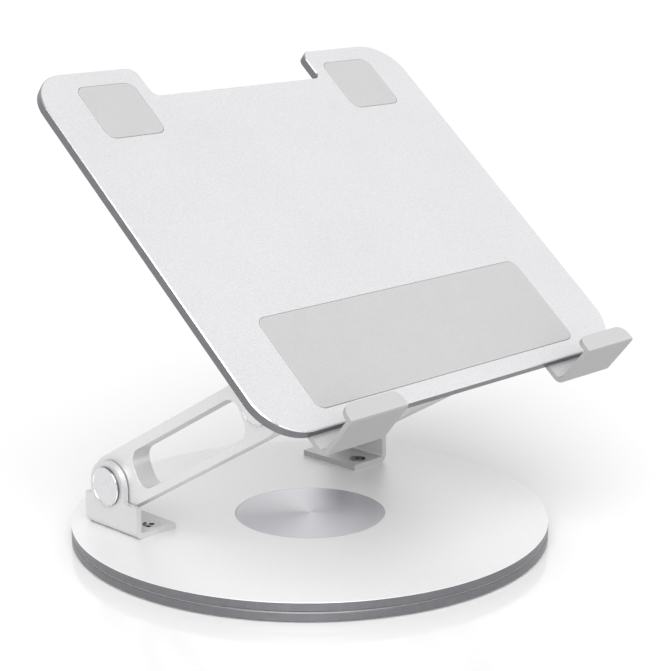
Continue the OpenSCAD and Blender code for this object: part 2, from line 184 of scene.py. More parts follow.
def lathe(name, profile, steps):
    """A turned solid from its closed profile of (radius, height)"""
    piece = draw(name, [Vector((r, 0, z)) for r, z in profile])
    mesh = bmesh.from_edit_mesh(piece.data)
    mesh.verts.ensure_lookup_table()
    ends = [v for v in mesh.verts if len(v.link_edges) == 1]
    bpy.ops.mesh.select_all(action="DESELECT")
    for end in ends:
        end.select_set(True)
    bmesh.update_edit_mesh(piece.data)
    bpy.ops.mesh.edge_face_add()
    bpy.ops.mesh.select_all(action="SELECT")
    bpy.ops.mesh.spin(steps=steps, angle=math.tau, center=(0, 0, 0), axis=(0, 0, 1))
    bpy.ops.mesh.select_all(action="SELECT")
    bpy.ops.mesh.remove_doubles(threshold=MERGE)
    bpy.ops.mesh.delete_loose()
    point_outwards()
    return piece


def use_modifier(piece, kind, **settings):
    select_only(piece)
    modifier = piece.modifiers.new(kind.title(), kind)
    for key, value in settings.items():
        setattr(modifier, key, value)
    bpy.ops.object.modifier_apply(modifier=modifier.name)


def combine(piece, tool, operation):
    """Cuts the tool out of the piece, or keeps what they share, and removes the tool"""
    use_modifier(piece, "BOOLEAN", operation=operation, object=tool, solver="EXACT")
    bpy.data.objects.remove(tool)


def drill(piece, place, direction, radius, depth, mouth=0.0, mouth_depth=0.0):
    """A round hole from place along direction, with a countersink where mouth is wider than radius"""
    turn = direction.to_track_quat("Z", "Y").to_matrix().to_4x4()
    rings = [(radius, depth / 2 - OVERCUT / 2, depth + OVERCUT, radius)]
    if mouth:
        rings.append((mouth, mouth_depth / 2, mouth_depth, radius))
        rings.append((mouth, -OVERCUT / 2, OVERCUT, mouth))
    for near, middle, length, far in rings:
        select_none()
        bpy.ops.mesh.primitive_cone_add(vertices=48, radius1=near, radius2=far, depth=length)
        tool = bpy.context.object
        tool.matrix_world = Matrix.Translation(place + direction * middle) @ turn
        bpy.ops.object.transform_apply(location=True, rotation=True, scale=True)
        combine(piece, tool, "DIFFERENCE")


def break_edges(piece, width, segments=3, angle=38):
    """Rounds the edges that turn by more than the angle, in degrees"""
    use_modifier(piece, "BEVEL", width=width, segments=segments, limit_method="ANGLE",
                 angle_limit=math.radians(angle), use_clamp_overlap=True)


def place(piece, matrix):
    """Moves a piece from its own frame to its place, and leaves the place in its mesh"""
    select_only(piece)
    piece.matrix_world = matrix
    bpy.ops.object.transform_apply(location=True, rotation=True, scale=True)


def mirrored(piece, name):
    """A copy with its own mesh on the other side of the stand"""
    select_only(piece)
    bpy.ops.object.duplicate()
    copy = bpy.context.object
    copy.name = copy.data.name = name
    copy.scale.x = -1
    bpy.ops.object.transform_apply(location=True, rotation=True, scale=True)
    bpy.ops.object.mode_set(mode="EDIT")
    point_outwards()
    return copy


def paint(piece, materials, choose=None):
    """Gives a piece its materials; choose(normal, middle) says which of them a face takes"""
    piece.data.materials.clear()
    for material in materials:
        piece.data.materials.append(material)
    if choose:
        for face in piece.data.polygons:
            face.material_index = choose(face.normal, face.center)


def mount(piece, body, slot, *nodes):
    """Smooths a finished piece and puts it on its body in place of its CAD nodes"""
    select_only(piece)
    bpy.ops.object.shade_smooth_by_angle(angle=SMOOTH_ANGLE)
    use_modifier(piece, "WEIGHTED_NORMAL", keep_sharp=True)
    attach(piece, body)
    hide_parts(*nodes)


def in_arm():
    """The arms' frame: the lower hinge at the origin and the arm along -Y"""
    return Matrix.Translation(LOWER_AXIS) @ Matrix.Rotation(-ARM_SLOPE, 4, "X")


def in_tray(sizes):
    """The tray's frame: Y up the tray from its front edge, and the tray's face at Z = 0"""
    shift = Matrix.Translation((0, -sizes.pivot_up, sizes.pivot_drop))
    return Matrix.Translation(UPPER_AXIS) @ Matrix.Rotation(sizes.tray_slope, 4, "X") @ shift


# ---------- materials ----------


def linear(code):
    """A linear colour from its sRGB hex code"""
    parts = [int(code[i : i + 2], 16) / 255 for i in (1, 3, 5)]
    return [p / 12.92 if p <= 0.04045 else ((p + 0.055) / 1.055) ** 2.4 for p in parts] + [1.0]


def add(tree, kind, settings=(), values=(), links=()):
    """Adds a shader node with its settings, the values of its inputs and the links into them"""
    made = tree.nodes.new(kind)
    for key, value in dict(settings).items():
        setattr(made, key, value)
    for key, value in dict(values).items():
        made.inputs[key].default_value = value
    for key, source in dict(links).items():
        tree.links.new(source, made.inputs[key])
    return made


def start_material(name, values):
    """A new material with its shader, and the Object coordinates that its patterns read"""
    material = bpy.data.materials.new(name)
    material.use_nodes = True
    tree = material.node_tree
    tree.nodes.clear()
    shader = add(tree, "ShaderNodeBsdfPrincipled", values=values)
    add(tree, "ShaderNodeOutputMaterial", links={"Surface": shader.outputs["BSDF"]})
    coords = add(tree, "ShaderNodeTexCoord").outputs["Object"]
    return material, tree, shader, coords


def mottle(tree, coords, size, light, dark, detail=2.0):
    """A noise with spots of that size in metres, and the colour that it gives between dark and light"""
    noise = add(tree, "ShaderNodeTexNoise", values={"Scale": 1 / size, "Detail": detail, "Roughness": 0.6},
                links={"Vector": coords})
    spread = add(tree, "ShaderNodeMapRange", values={"From Min": 0.3, "From Max": 0.7},
                 links={"Value": noise.outputs["Fac"]})
    colour = add(tree, "ShaderNodeMix", {"data_type": "RGBA"}, {6: dark, 7: light},
                 {0: spread.outputs["Result"]})
    return spread.outputs["Result"], colour.outputs[2]


def vary(tree, shader, socket, factor, low, high):
    """Lets a socket run from low to high with a factor"""
    spread = add(tree, "ShaderNodeMapRange", values={"To Min": low, "To Max": high}, links={"Value": factor})
    tree.links.new(spread.outputs["Result"], shader.inputs[socket])


def raise_grain(tree, shader, height, distance, strength=1.0):
    bump = add(tree, "ShaderNodeBump", values={"Strength": strength, "Distance": distance},
               links={"Height": height})
    tree.links.new(bump.outputs["Normal"], shader.inputs["Normal"])


def blasted_metal(name, light, dark, metallic, roughness, grit=0.45 * MM, depth=0.012 * MM):
    """Bead-blasted and anodised aluminium. The blast leaves a matt, even grain with no direction. The real
    grit is about 0.1 mm; it is drawn at about 0.45 mm, the finest that still shows. A broad, faint cloud in
    the tone stands for the uneven dye and thickness of the oxide."""
    material, tree, shader, coords = start_material(name, {"Metallic": metallic, "Roughness": roughness})
    grain, fine = mottle(tree, coords, grit, light, dark)
    cloud, broad = mottle(tree, coords, 45 * MM, light, dark, detail=1.0)
    both = add(tree, "ShaderNodeMix", {"data_type": "RGBA"}, {0: 0.12}, {6: fine, 7: broad})
    tree.links.new(both.outputs[2], shader.inputs["Base Color"])
    vary(tree, shader, "Roughness", grain, roughness - 0.05, roughness + 0.05)
    raise_grain(tree, shader, grain, depth, 0.5)
    return material


def cut_metal(name, light, dark, roughness, pitch, direction, metallic=1.0):
    """Milled or turned metal: fine tool marks lie one above another, pitch apart along a direction"""
    material, tree, shader, coords = start_material(name, {"Metallic": metallic, "Roughness": roughness})
    along = add(tree, "ShaderNodeVectorMath", {"operation": "DOT_PRODUCT"}, {1: direction}, {0: coords})
    marks = add(tree, "ShaderNodeTexNoise", {"noise_dimensions": "1D"},
                {"Scale": 1 / pitch, "Detail": 3.0, "Roughness": 0.7}, {"W": along.outputs["Value"]})
    spots, tone = mottle(tree, coords, 3 * MM, light, dark)
    blend = add(tree, "ShaderNodeMix", {"data_type": "RGBA"}, {6: dark, 7: light}, {0: marks.outputs["Fac"]})
    both = add(tree, "ShaderNodeMix", {"data_type": "RGBA"}, {0: 0.3}, {6: blend.outputs[2], 7: tone})
    tree.links.new(both.outputs[2], shader.inputs["Base Color"])
    vary(tree, shader, "Roughness", marks.outputs["Fac"], roughness - 0.06, roughness + 0.06)
    raise_grain(tree, shader, marks.outputs["Fac"], 0.02 * MM, 0.4)
    return material


def spun_metal(name, light, dark):
    """Spun aluminium, brushed in rings round its centre. The rings stretch each highlight into a fan that
    runs out from the centre; two pale fans in the tone are painted highlights of the room's lamps, fixed
    to the disc. The real marks are about 0.05 mm apart; they are drawn 0.15 to 1.2 mm apart."""
    material, tree, shader, coords = start_material(
        name, {"Metallic": 1.0, "Roughness": 0.3, "Anisotropic": 0.85})
    around = add(tree, "ShaderNodeTangent", {"direction_type": "RADIAL", "axis": "Z"})
    tree.links.new(around.outputs["Tangent"], shader.inputs["Tangent"])
    flat = add(tree, "ShaderNodeVectorMath", {"operation": "MULTIPLY"}, {1: (1, 1, 0)}, {0: coords})
    radius = add(tree, "ShaderNodeVectorMath", {"operation": "LENGTH"}, links={0: flat.outputs["Vector"]})
    rings = add(tree, "ShaderNodeTexNoise", {"noise_dimensions": "1D"},
                {"Scale": 1 / (1.2 * MM), "Detail": 4.0, "Roughness": 0.7}, {"W": radius.outputs["Value"]})
    # Two pale fans round the axis: painted highlights in the tone, fixed to the disc whatever the light or camera.
    angle = add(tree, "ShaderNodeTexGradient", {"gradient_type": "RADIAL"}, links={"Vector": flat.outputs["Vector"]})
    twice = add(tree, "ShaderNodeMath", {"operation": "MULTIPLY_ADD"}, {1: 2 * math.tau, 2: PAINTED_FAN_TURN},
                {0: angle.outputs["Fac"]})
    wave = add(tree, "ShaderNodeMath", {"operation": "COSINE"}, links={0: twice.outputs["Value"]})
    fans = add(tree, "ShaderNodeMapRange", {"interpolation_type": "SMOOTHSTEP"}, {"From Min": -1.0},
               {"Value": wave.outputs["Value"]})
    both = add(tree, "ShaderNodeMix", {"data_type": "FLOAT"}, {0: 0.4},
               {2: fans.outputs["Result"], 3: rings.outputs["Fac"]})
    colour = add(tree, "ShaderNodeMix", {"data_type": "RGBA"}, {6: dark, 7: light}, {0: both.outputs[0]})
    tree.links.new(colour.outputs[2], shader.inputs["Base Color"])
    vary(tree, shader, "Roughness", rings.outputs["Fac"], 0.24, 0.36)
    raise_grain(tree, shader, rings.outputs["Fac"], 0.01 * MM, 0.25)
    return material


def silicone(name, light, dark, roughness):
    """Moulded silicone rubber: matt, with the fine pebbling of its mould and a soft sheen at low angles"""
    material, tree, shader, coords = start_material(
        name, {"Roughness": roughness, "IOR": 1.41, "Sheen Weight": 0.12, "Sheen Roughness": 0.5})
    grain, tone = mottle(tree, coords, 0.6 * MM, light, dark)
    dust, faint = mottle(tree, coords, 9 * MM, light, dark)
    both = add(tree, "ShaderNodeMix", {"data_type": "RGBA"}, {0: 0.18}, {6: tone, 7: faint})
    tree.links.new(both.outputs[2], shader.inputs["Base Color"])
    vary(tree, shader, "Roughness", dust, roughness - 0.05, roughness + 0.05)
    raise_grain(tree, shader, grain, 0.03 * MM, 0.4)
    return material


def plated_metal(name, light, dark, roughness):
    """Nickel, chrome or zinc plate over polished metal: close to a mirror, with faint polishing haze"""
    material, tree, shader, coords = start_material(name, {"Metallic": 1.0, "Roughness": roughness})
    haze, tone = mottle(tree, coords, 1.2 * MM, light, dark)
    tree.links.new(tone, shader.inputs["Base Color"])
    vary(tree, shader, "Roughness", haze, roughness * 0.7, roughness * 1.3)
    return material


def moulded_plastic(name, light, dark, roughness):
    """Injection-moulded nylon or acetal: satin, with flow marks a few millimetres long"""
    material, tree, shader, coords = start_material(name, {"Roughness": roughness, "IOR": 1.53})
    flow, tone = mottle(tree, coords, 2.5 * MM, light, dark)
    tree.links.new(tone, shader.inputs["Base Color"])
    vary(tree, shader, "Roughness", flow, roughness - 0.06, roughness + 0.06)
    return material


def colour_property(name, description, code):
    return FloatVectorProperty(name=name, description=description, subtype="COLOR", size=4,
                               min=0.0, max=1.0, default=linear(code))


def length_property(name, description, default):
    return FloatProperty(name=name, description=description, default=default, min=0.0,
                         unit="LENGTH", subtype="DISTANCE", precision=5)


# ---------- properties ----------


class StandSizes(bpy.types.PropertyGroup):
    """Sizes of the pieces, in metres"""

    tray_width: length_property("Tray width", "Width of the tray", TRAY[1].x - TRAY[0].x)
    tray_depth: length_property("Tray depth", "From the front edge to the top of the lobes", 179.2 * MM)
    tray_thickness: length_property("Tray thickness", "Thickness of the tray", 4.1 * MM)
    tray_slope: FloatProperty(name="Tray slope", description="Slope of the tray above the horizontal",
                              default=math.radians(39.7), unit="ROTATION", subtype="ANGLE")
    pivot_up: length_property("Hinge up the tray", "From the front edge up to the upper hinge", 31.1 * MM)
    pivot_drop: length_property("Hinge below the tray", "From the face down to the upper hinge", 28.9 * MM)
    front_radius: length_property("Front corners", "Radius of the tray's front corners", 19 * MM)
    lobe_radius: length_property("Lobe corners", "Radius of the lobes' outer corners", 17 * MM)
    notch_width: length_property("Notch width", "Width of the rear notch along its floor", 92.4 * MM)
    notch_depth: length_property("Notch depth", "Depth of the rear notch", 16 * MM)
    tray_chamfer: length_property("Tray chamfer", "Width of the bright chamfer round the tray", 0.4 * MM)
    pad_depth: length_property("Front pad depth", "Depth of the long front pad", 43 * MM)
    pad_start: length_property("Front pad place", "From the front edge to the front pad", 7.5 * MM)
    small_pad_depth: length_property("Small pad depth", "Depth of a small pad", 27.5 * MM)
    small_pad_up: length_property("Small pad place", "Up the tray to the middle of a small pad", 157.4 * MM)
    pad_radius: length_property("Pad corners", "Radius of the pads' corners", 4 * MM)
    pad_thickness: length_property("Pad thickness", "Thickness of the pads", 1 * MM)
    pad_proud: length_property("Pad height", "Height by which the pads stand out", 0.2 * MM)
    hook_reach: length_property("Hook reach", "From the front edge to a hook's outer face", 9.5 * MM)
    hook_height: length_property("Hook height", "Height of a hook above the tray's face", 17 * MM)
    hook_sheet: length_property("Hook sheet", "Thickness of a hook's sheet", 2 * MM)
    hook_lip: length_property("Hook lip", "Depth of a hook's lip", 7.5 * MM)
    hook_tab: length_property("Hook tab", "Length of a hook's tab under the tray", 18 * MM)
    arm_width: length_property("Arm width", "Width of an arm's side face", 24.4 * MM)
    window_start: length_property("Window place", "From the lower hinge to an arm's window", 17.4 * MM)
    window_length: length_property("Window length", "Length of an arm's window", 73.6 * MM)
    window_width: length_property("Window width", "Width of an arm's window", 16.4 * MM)
    bracket_sheet: length_property("Bracket sheet", "Thickness of the brackets' sheet", 2.5 * MM)
    ear_radius: length_property("Ear radius", "Radius of the brackets' round ears", 10.5 * MM)
    cap_height: length_property("Cap height", "Height of a cap above its ear", 1.3 * MM)


class StandFinishes(bpy.types.PropertyGroup):
    """Light and dark tone of each finish"""

    tray_light: colour_property("Tray, light", "Light tone of the blasted tray", "#eaeaeb")
    tray_dark: colour_property("Tray, dark", "Dark tone of the blasted tray", "#d3d3d6")
    base_light: colour_property("Base, light", "Light tone of the turntable's top", "#f4f4f4")
    base_dark: colour_property("Base, dark", "Dark tone of the turntable's top", "#ececed")
    silver_light: colour_property("Arms, light", "Light tone of the arms", "#e2e2e2")
    silver_dark: colour_property("Arms, dark", "Dark tone of the arms", "#d6d6d7")
    bracket_light: colour_property("Brackets, light", "Light tone of the brackets", "#d3d3d3")
    bracket_dark: colour_property("Brackets, dark", "Dark tone of the brackets", "#c8c8c9")
    # The hook tones are a darkened copy of the bracket aluminium: painted shade on the hooks' walls and the base
    # brackets' inner ends.
    hook_light: colour_property("Hooks, light", "Light tone of the hooks", "#a8a8a8")
    hook_dark: colour_property("Hooks, dark", "Dark tone of the hooks", "#9d9d9d")
    edge_light: colour_property("Cut edge, light", "Light tone of the cut edges", "#88888b")
    edge_dark: colour_property("Cut edge, dark", "Dark tone of the cut edges", "#757579")
    pad_light: colour_property("Pads, light", "Light tone of the grey silicone", "#b6b6b6")
    pad_dark: colour_property("Pads, dark", "Dark tone of the grey silicone", "#acacac")


MATERIALS = {}


def make_materials(tones):
    """Every finish of the stand, by name"""
    MATERIALS.update(
        tray=blasted_metal("bead_blasted_tray_aluminium", tones.tray_light, tones.tray_dark, 0.55, 0.5),
        base=blasted_metal("bead_blasted_base_aluminium", tones.base_light, tones.base_dark, 0.5, 0.42,
                           depth=0.008 * MM),
        silver=blasted_metal("satin_anodised_aluminium", tones.silver_light, tones.silver_dark, 0.7, 0.42,
                             grit=0.3 * MM, depth=0.008 * MM),
        bracket=blasted_metal("satin_anodised_bracket_aluminium", tones.bracket_light, tones.bracket_dark,
                              0.5, 0.42, grit=0.3 * MM, depth=0.008 * MM),
        # hook: a darkened copy of the bracket aluminium, used as painted shade.
        hook=blasted_metal("satin_anodised_hook_aluminium_in_painted_shade", tones.hook_light, tones.hook_dark, 0.2, 0.45,
                           grit=0.3 * MM, depth=0.008 * MM),
        edge=cut_metal("milled_edge_aluminium", tones.edge_light, tones.edge_dark, 0.4, 0.25 * MM, (0, -0.64, 0.77)),
        rim=cut_metal("turned_rim_aluminium", tones.edge_light, tones.edge_dark, 0.4, 0.25 * MM, (0, 0, 1)),
        chamfer=cut_metal("diamond_cut_chamfer", linear("#cfcfd1"), linear("#c2c2c5"), 0.25, 0.2 * MM, (0, 0, 1)),
        inlay=spun_metal("spun_aluminium_with_painted_fans", linear("#e4e4e8"), linear("#c4c4c9")),
        pad=silicone("grey_silicone", tones.pad_light, tones.pad_dark, 0.7),
        mat=silicone("dark_silicone", linear("#4a4a4c"), linear("#38383a"), 0.75),
        chrome=plated_metal("bright_chrome_plate", linear("#e0e0e1"), linear("#d6d6d8"), 0.1),
        steel=plated_metal("zinc_plated_steel", linear("#c9c9cc"), linear("#adaeb2"), 0.28),
        nylon=moulded_plastic("moulded_nylon", linear("#d4d4cf"), linear("#c2c2bb"), 0.5),
        cage=moulded_plastic("moulded_acetal", linear("#efeadb"), linear("#e2dcc8"), 0.4),
    )


# ---------- base ----------


class STAND_OT_base(bpy.types.Operator):
    """Turn the two discs of the base and the brushed inlay"""

    bl_idname = "stand.base"
    bl_label = "Base"

    def execute(self, context):
        rim = FIXED_DISC[1].x
        chamfer, top_edge = 0.3 * MM, 0.12 * MM
        race_in, race_out = (42 - 4) * MM - PLAY, (42 + 4) * MM + PLAY
        bolt = 5 * MM + PLAY
        low, high = FIXED_DISC[0].z, FIXED_DISC[1].z
        fixed = lathe("fixed_disc", [
            (bolt, 2.4 * MM), (9 * MM + PLAY, 2.4 * MM), (9 * MM + PLAY, 1.2 * MM), (94 * MM + PLAY, 1.2 * MM),
            (94 * MM + PLAY, low), (rim - chamfer, low), (rim, low + chamfer), (rim, high - chamfer),
            (rim - chamfer, high), (race_out, high), (race_out, 2.55 * MM), (race_in, 2.55 * MM),
            (race_in, high), (bolt, high)], 288)
        low, high = TURNTABLE[0].z, TURNTABLE[1].z
        recess = INLAY[1].x + PLAY
        turning = lathe("turntable_disc", [
            (bolt, low), (race_in, low), (race_in, 6.55 * MM), (race_out, 6.55 * MM), (race_out, low),
            (rim - chamfer, low), (rim, low + chamfer), (rim, high - top_edge), (rim - top_edge, high),
            (recess, high), (recess, INLAY[0].z), (11 * MM, INLAY[0].z), (11 * MM, 5.65 * MM),
            (bolt, 5.65 * MM)], 288)

        def by_slope(normal, middle):
            return int(abs(normal.z) < 0.95 and middle.xy.length > rim - 3 * chamfer
                       and middle.z < TURNTABLE[1].z - top_edge)

        for disc, body, slot, node in ((fixed, "base", "base_lower", "lower_disc"),
                                       (turning, "turntable", "base_upper", "upper_disc")):
            paint(disc, [MATERIALS["base"], MATERIALS["rim"]], by_slope)
            mount(disc, body, slot, node)

        edge = 0.25 * MM
        radius = INLAY[1].x
        low, high = INLAY[0].z, INLAY[1].z
        inlay = lathe("spun_inlay", [(0, low), (radius, low), (radius, high - edge), (radius - edge, high),
                                     (0.5 * radius, high), (0, high)], 192)
        paint(inlay, [MATERIALS["inlay"]])
        mount(inlay, "turntable", "brushed_inlay", "centre_inlay")
        return {"FINISHED"}


class STAND_OT_base_brackets(bpy.types.Operator):
    """Bend the two brackets that carry the lower hinges"""

    bl_idname = "stand.base_brackets"
    bl_label = "Base brackets"

    def execute(self, context):
        sizes = context.scene.stand_sizes
        sheet = sizes.bracket_sheet
        (x0, y0, z0), (x1, y1, z1) = BASE_EAR
        outer = 0.8 * MM + sheet
        section = rounded([(x0, z0, 0), (x1, z0, outer), (x1, z1 + OVERCUT, 0), (x1 - sheet, z1 + OVERCUT, 0),
                           (x1 - sheet, z0 + sheet, 0.8 * MM), (x0, z0 + sheet, 0)])
        bracket = prism("right_base_angle", on_front(section, y0 - OVERCUT), Vector((0, y1 - y0 + 2 * OVERCUT, 0)))
        ear, axis, shoulder = sizes.ear_radius, LOWER_AXIS.y, z0 + 13.5 * MM
        outline = rounded([(y0, z0, 0), (y1, z0, 0), (y1, shoulder, 0), (axis + ear, shoulder, 0),
                           (axis + ear, z1, ear), (axis - ear, z1, ear), (axis - ear, shoulder, 0),
                           (y0, shoulder, 0)])
        combine(bracket, prism("ear_tool", on_side(outline, x0 - OVERCUT), Vector((x1 - x0 + 2 * OVERCUT, 0, 0))),
                "INTERSECT")
        middle = (y0 + y1) / 2
        for side in (-1, 1):
            drill(bracket, Vector((61 * MM, middle + side * 10.5 * MM, z0 + sheet)), Vector((0, 0, -1)),
                  2 * MM + PLAY, sheet + OVERCUT, 3.8 * MM + PLAY, 1.9 * MM)
        break_edges(bracket, 0.3 * MM)
        # The bracket's inner end faces take the darker hook tone: painted shade on the same aluminium.
        paint(bracket, [MATERIALS["bracket"], MATERIALS["hook"]],
              lambda normal, middle: int(normal.x < -0.9 and middle.x < x0 + sheet))
        other = mirrored(bracket, "left_base_angle")
        mount(bracket, "turntable", "bracket_metal", "right_base_bracket")
        mount(other, "turntable", "bracket_metal", "left_base_bracket")
        return {"FINISHED"}


# ---------- arms ----------


class STAND_OT_arms(bpy.types.Operator):
    """Mill the two arms with their long windows and soft edges"""

    bl_idname = "stand.arms"
    bl_label = "Arms"

    def execute(self, context):
        sizes = context.scene.stand_sizes
        half = sizes.arm_width / 2
        x0, x1 = ARM[0].x, ARM[1].x
        thick = Vector((x1 - x0, 0, 0))
        arm = prism("right_side_arm", on_side(box_outline(-ARM_LENGTH - half, -half, half, half, half), x0), thick)
        start, length, wide = sizes.window_start, sizes.window_length, sizes.window_width / 2
        shift = -0.4 * MM
        window = box_outline(-start - length, shift - wide, -start, shift + wide, 6 * MM)
        combine(arm, prism("window_tool", on_side(window, x0 - OVERCUT), thick + Vector((2 * OVERCUT, 0, 0))),
                "DIFFERENCE")
        break_edges(arm, 1.0 * MM, 4)
        paint(arm, [MATERIALS["silver"]])
        place(arm, in_arm())
        other = mirrored(arm, "left_side_arm")
        mount(arm, "arms", "arm_aluminium", "right_arm")
        mount(other, "arms", "arm_aluminium", "left_arm")
        return {"FINISHED"}


class STAND_OT_caps(bpy.types.Operator):
    """Turn the four dished chrome caps of the hinges"""

    bl_idname = "stand.caps"
    bl_label = "Hinge caps"

    def execute(self, context):
        for cap, axis, body, name in ((LOWER_CAP, LOWER_AXIS, "turntable", "lower_cap"),
                                      (UPPER_CAP, UPPER_AXIS, "tray", "upper_cap")):
            radius = (cap[1].y - cap[0].y) / 2
            height = context.scene.stand_sizes.cap_height
            head, floor = 5.5 * MM + PLAY, 0.8 * MM + PLAY
            lip = 0.4 * MM
            rim = [(radius - lip * (1 - math.cos(a)), height - lip * (1 - math.sin(a)))
                   for a in (math.pi / 2 * step / 8 for step in range(17)) if a <= math.pi * 0.9]
            inside = radius - 2 * lip
            dish = [(inside * (1 - step / 8), height - 0.3 * MM + 0.1 * MM * (step / 8) ** 2)
                    for step in range(1, 9)]
            piece = lathe("right_" + name + "_plate",
                          [(0, floor), (head, floor), (head, 0), (radius, 0)] + rim + dish, 96)
            # The chrome cap's side wall takes the dark cut-edge grey: a painted dark reflection on the chrome.
            paint(piece, [MATERIALS["chrome"], MATERIALS["edge"]],
                  lambda normal, middle: int(abs(normal.z) < 0.2 and middle.xy.length > radius - lip / 2))
            turn = Matrix.Rotation(math.pi / 2, 4, "Y")
            place(piece, Matrix.Translation((cap[0].x, axis.y, axis.z)) @ turn)
            other = mirrored(piece, "left_" + name + "_plate")
            mount(piece, body, "cap_chrome", "right_" + name)
            mount(other, body, "cap_chrome", "left_" + name)
        return {"FINISHED"}


# ---------- tray ----------


class STAND_OT_tray(bpy.types.Operator):
    """Cut the tray with its notch, the recesses for its pads and its bright chamfer"""

    bl_idname = "stand.tray"
    bl_label = "Tray"

    def execute(self, context):
        sizes = context.scene.stand_sizes
        half, depth, thick = sizes.tray_width / 2, sizes.tray_depth, sizes.tray_thickness
        foot, floor = sizes.notch_width / 2, depth - sizes.notch_depth
        shoulder = foot + sizes.notch_depth / math.tan(math.radians(89))
        front, lobe = sizes.front_radius, sizes.lobe_radius
        outline = rounded([(-half, 0, front), (half, 0, front), (half, depth, lobe), (shoulder, depth, 5 * MM),
                           (foot, floor, 3 * MM), (-foot, floor, 3 * MM), (-shoulder, depth, 5 * MM),
                           (-half, depth, lobe)])
        tray = prism("tray_sheet", on_floor(outline, -thick), Vector((0, 0, thick)))
        break_edges(tray, sizes.tray_chamfer, 1)
        bottom = sizes.pad_proud - sizes.pad_thickness
        for x, y, wide, deep in pad_places(sizes):
            gap = 0.2 * MM
            recess = box_outline(x - wide / 2 - gap, y - deep / 2 - gap, x + wide / 2 + gap, y + deep / 2 + gap,
                                 sizes.pad_radius + gap)
            combine(tray, prism("recess_tool", on_floor(recess, bottom), Vector((0, 0, 2 * MM))), "DIFFERENCE")
        for side in (-1, 1):
            ends = sorted((side * (HOOK[0].x - PLAY), side * (HOOK[1].x + PLAY)))
            tab = box_outline(ends[0], -OVERCUT, ends[1], sizes.hook_tab + PLAY)
            combine(tray, prism("tab_tool", on_floor(tab, -thick - OVERCUT), Vector((0, 0, 2 * OVERCUT))),
                    "DIFFERENCE")

        def by_slope(normal, middle):
            # Chamfer faces that look to the front take the tray's tone instead of the bright chamfer: painted shade on
            # the same diamond cut.
            if 0.3 < abs(normal.z) < 0.95:
                return 2 if normal.y > -0.5 else 0
            return int(abs(normal.z) < 0.3 and abs(middle.z + thick / 2) < 1.2 * MM)

        paint(tray, [MATERIALS["tray"], MATERIALS["edge"], MATERIALS["chamfer"]], by_slope)
        place(tray, in_tray(sizes))
        mount(tray, "tray", "tray_aluminium", "tray_plate")
        return {"FINISHED"}


def pad_places(sizes):
    """(x, y, width, depth) of the front pad and the two small ones, in the tray's frame"""
    across = (SMALL_PAD[0].x + SMALL_PAD[1].x) / 2
    small = (SMALL_PAD[1].x - SMALL_PAD[0].x, sizes.small_pad_depth)
    return [(0.0, sizes.pad_start + sizes.pad_depth / 2, FRONT_PAD[1].x - FRONT_PAD[0].x, sizes.pad_depth),
            (-across, sizes.small_pad_up, *small), (across, sizes.small_pad_up, *small)]


class STAND_OT_pads(bpy.types.Operator):
    """Mould the silicone pads, soft at their edges"""

    bl_idname = "stand.pads"
    bl_label = "Pads"

    def execute(self, context):
        sizes = context.scene.stand_sizes
        names = ("front", "top_left", "top_right")
        for name, (x, y, wide, deep) in zip(names, pad_places(sizes)):
            outline = box_outline(x - wide / 2, y - deep / 2, x + wide / 2, y + deep / 2, sizes.pad_radius)
            pad = prism(name + "_silicone", on_floor(outline, sizes.pad_proud - sizes.pad_thickness),
                        Vector((0, 0, sizes.pad_thickness)))
            break_edges(pad, 0.25 * MM, 3)
            paint(pad, [MATERIALS["pad"]])
            place(pad, in_tray(sizes))
            mount(pad, "tray", "silicone_grey", "pad_" + name)
        return {"FINISHED"}


class STAND_OT_hooks(bpy.types.Operator):
    """Fold the two hooks that hold the tablet's lower edge"""

    bl_idname = "stand.hooks"
    bl_label = "Hooks"

    def execute(self, context):
        sizes = context.scene.stand_sizes
        sheet, bend = sizes.hook_sheet, 4 * MM
        back, front = -sizes.hook_reach, sizes.hook_tab
        top, bottom = sizes.hook_height, 1 * MM - sizes.tray_thickness - sheet
        lip = back + sizes.hook_lip
        section = rounded([(front, bottom, 0), (front, bottom + sheet, 0), (back + sheet, bottom + sheet, bend - sheet),
                           (back + sheet, top - sheet, 0.6 * MM), (lip, top - sheet, 0), (lip, top, 0),
                           (back, top, 1 * MM), (back, bottom, bend)])
        x0, x1 = HOOK[0].x, HOOK[1].x
        hook = prism("right_folded_hook", on_side(section, x0), Vector((x1 - x0, 0, 0)))
        for corner, side, radius in ((x0, 1, 4 * MM), (x1, -1, 5 * MM)):
            web = rounded([(corner - side * OVERCUT, lip + OVERCUT, 0), (corner - side * OVERCUT, lip - radius, 0),
                           (corner, lip - radius, 0), (corner, lip, radius), (corner + side * radius, lip, 0),
                           (corner + side * radius, lip + OVERCUT, 0)])
            combine(hook, prism("corner_tool", on_floor(web, 2 * sheet), Vector((0, 0, top))), "DIFFERENCE")
        for side in (-1, 1):
            drill(hook, Vector(((x0 + x1) / 2 + side * 7 * MM, 9 * MM, bottom)), Vector((0, 0, 1)),
                  1.5 * MM + PLAY, sheet + OVERCUT, 2.8 * MM + PLAY, 1.3 * MM)
        break_edges(hook, 0.45 * MM, 3)
        # The hook is one aluminium all over: its walls take the darker hook tone as painted shade, and the faces that
        # look up take the lighter bracket tone as painted light.
        paint(hook, [MATERIALS["hook"], MATERIALS["bracket"]], lambda normal, middle: int(normal.z > 0.9))
        place(hook, in_tray(sizes))
        other = mirrored(hook, "left_folded_hook")
        mount(hook, "tray", "hook_aluminium", "right_hook")
        mount(other, "tray", "hook_aluminium", "left_hook")
        return {"FINISHED"}


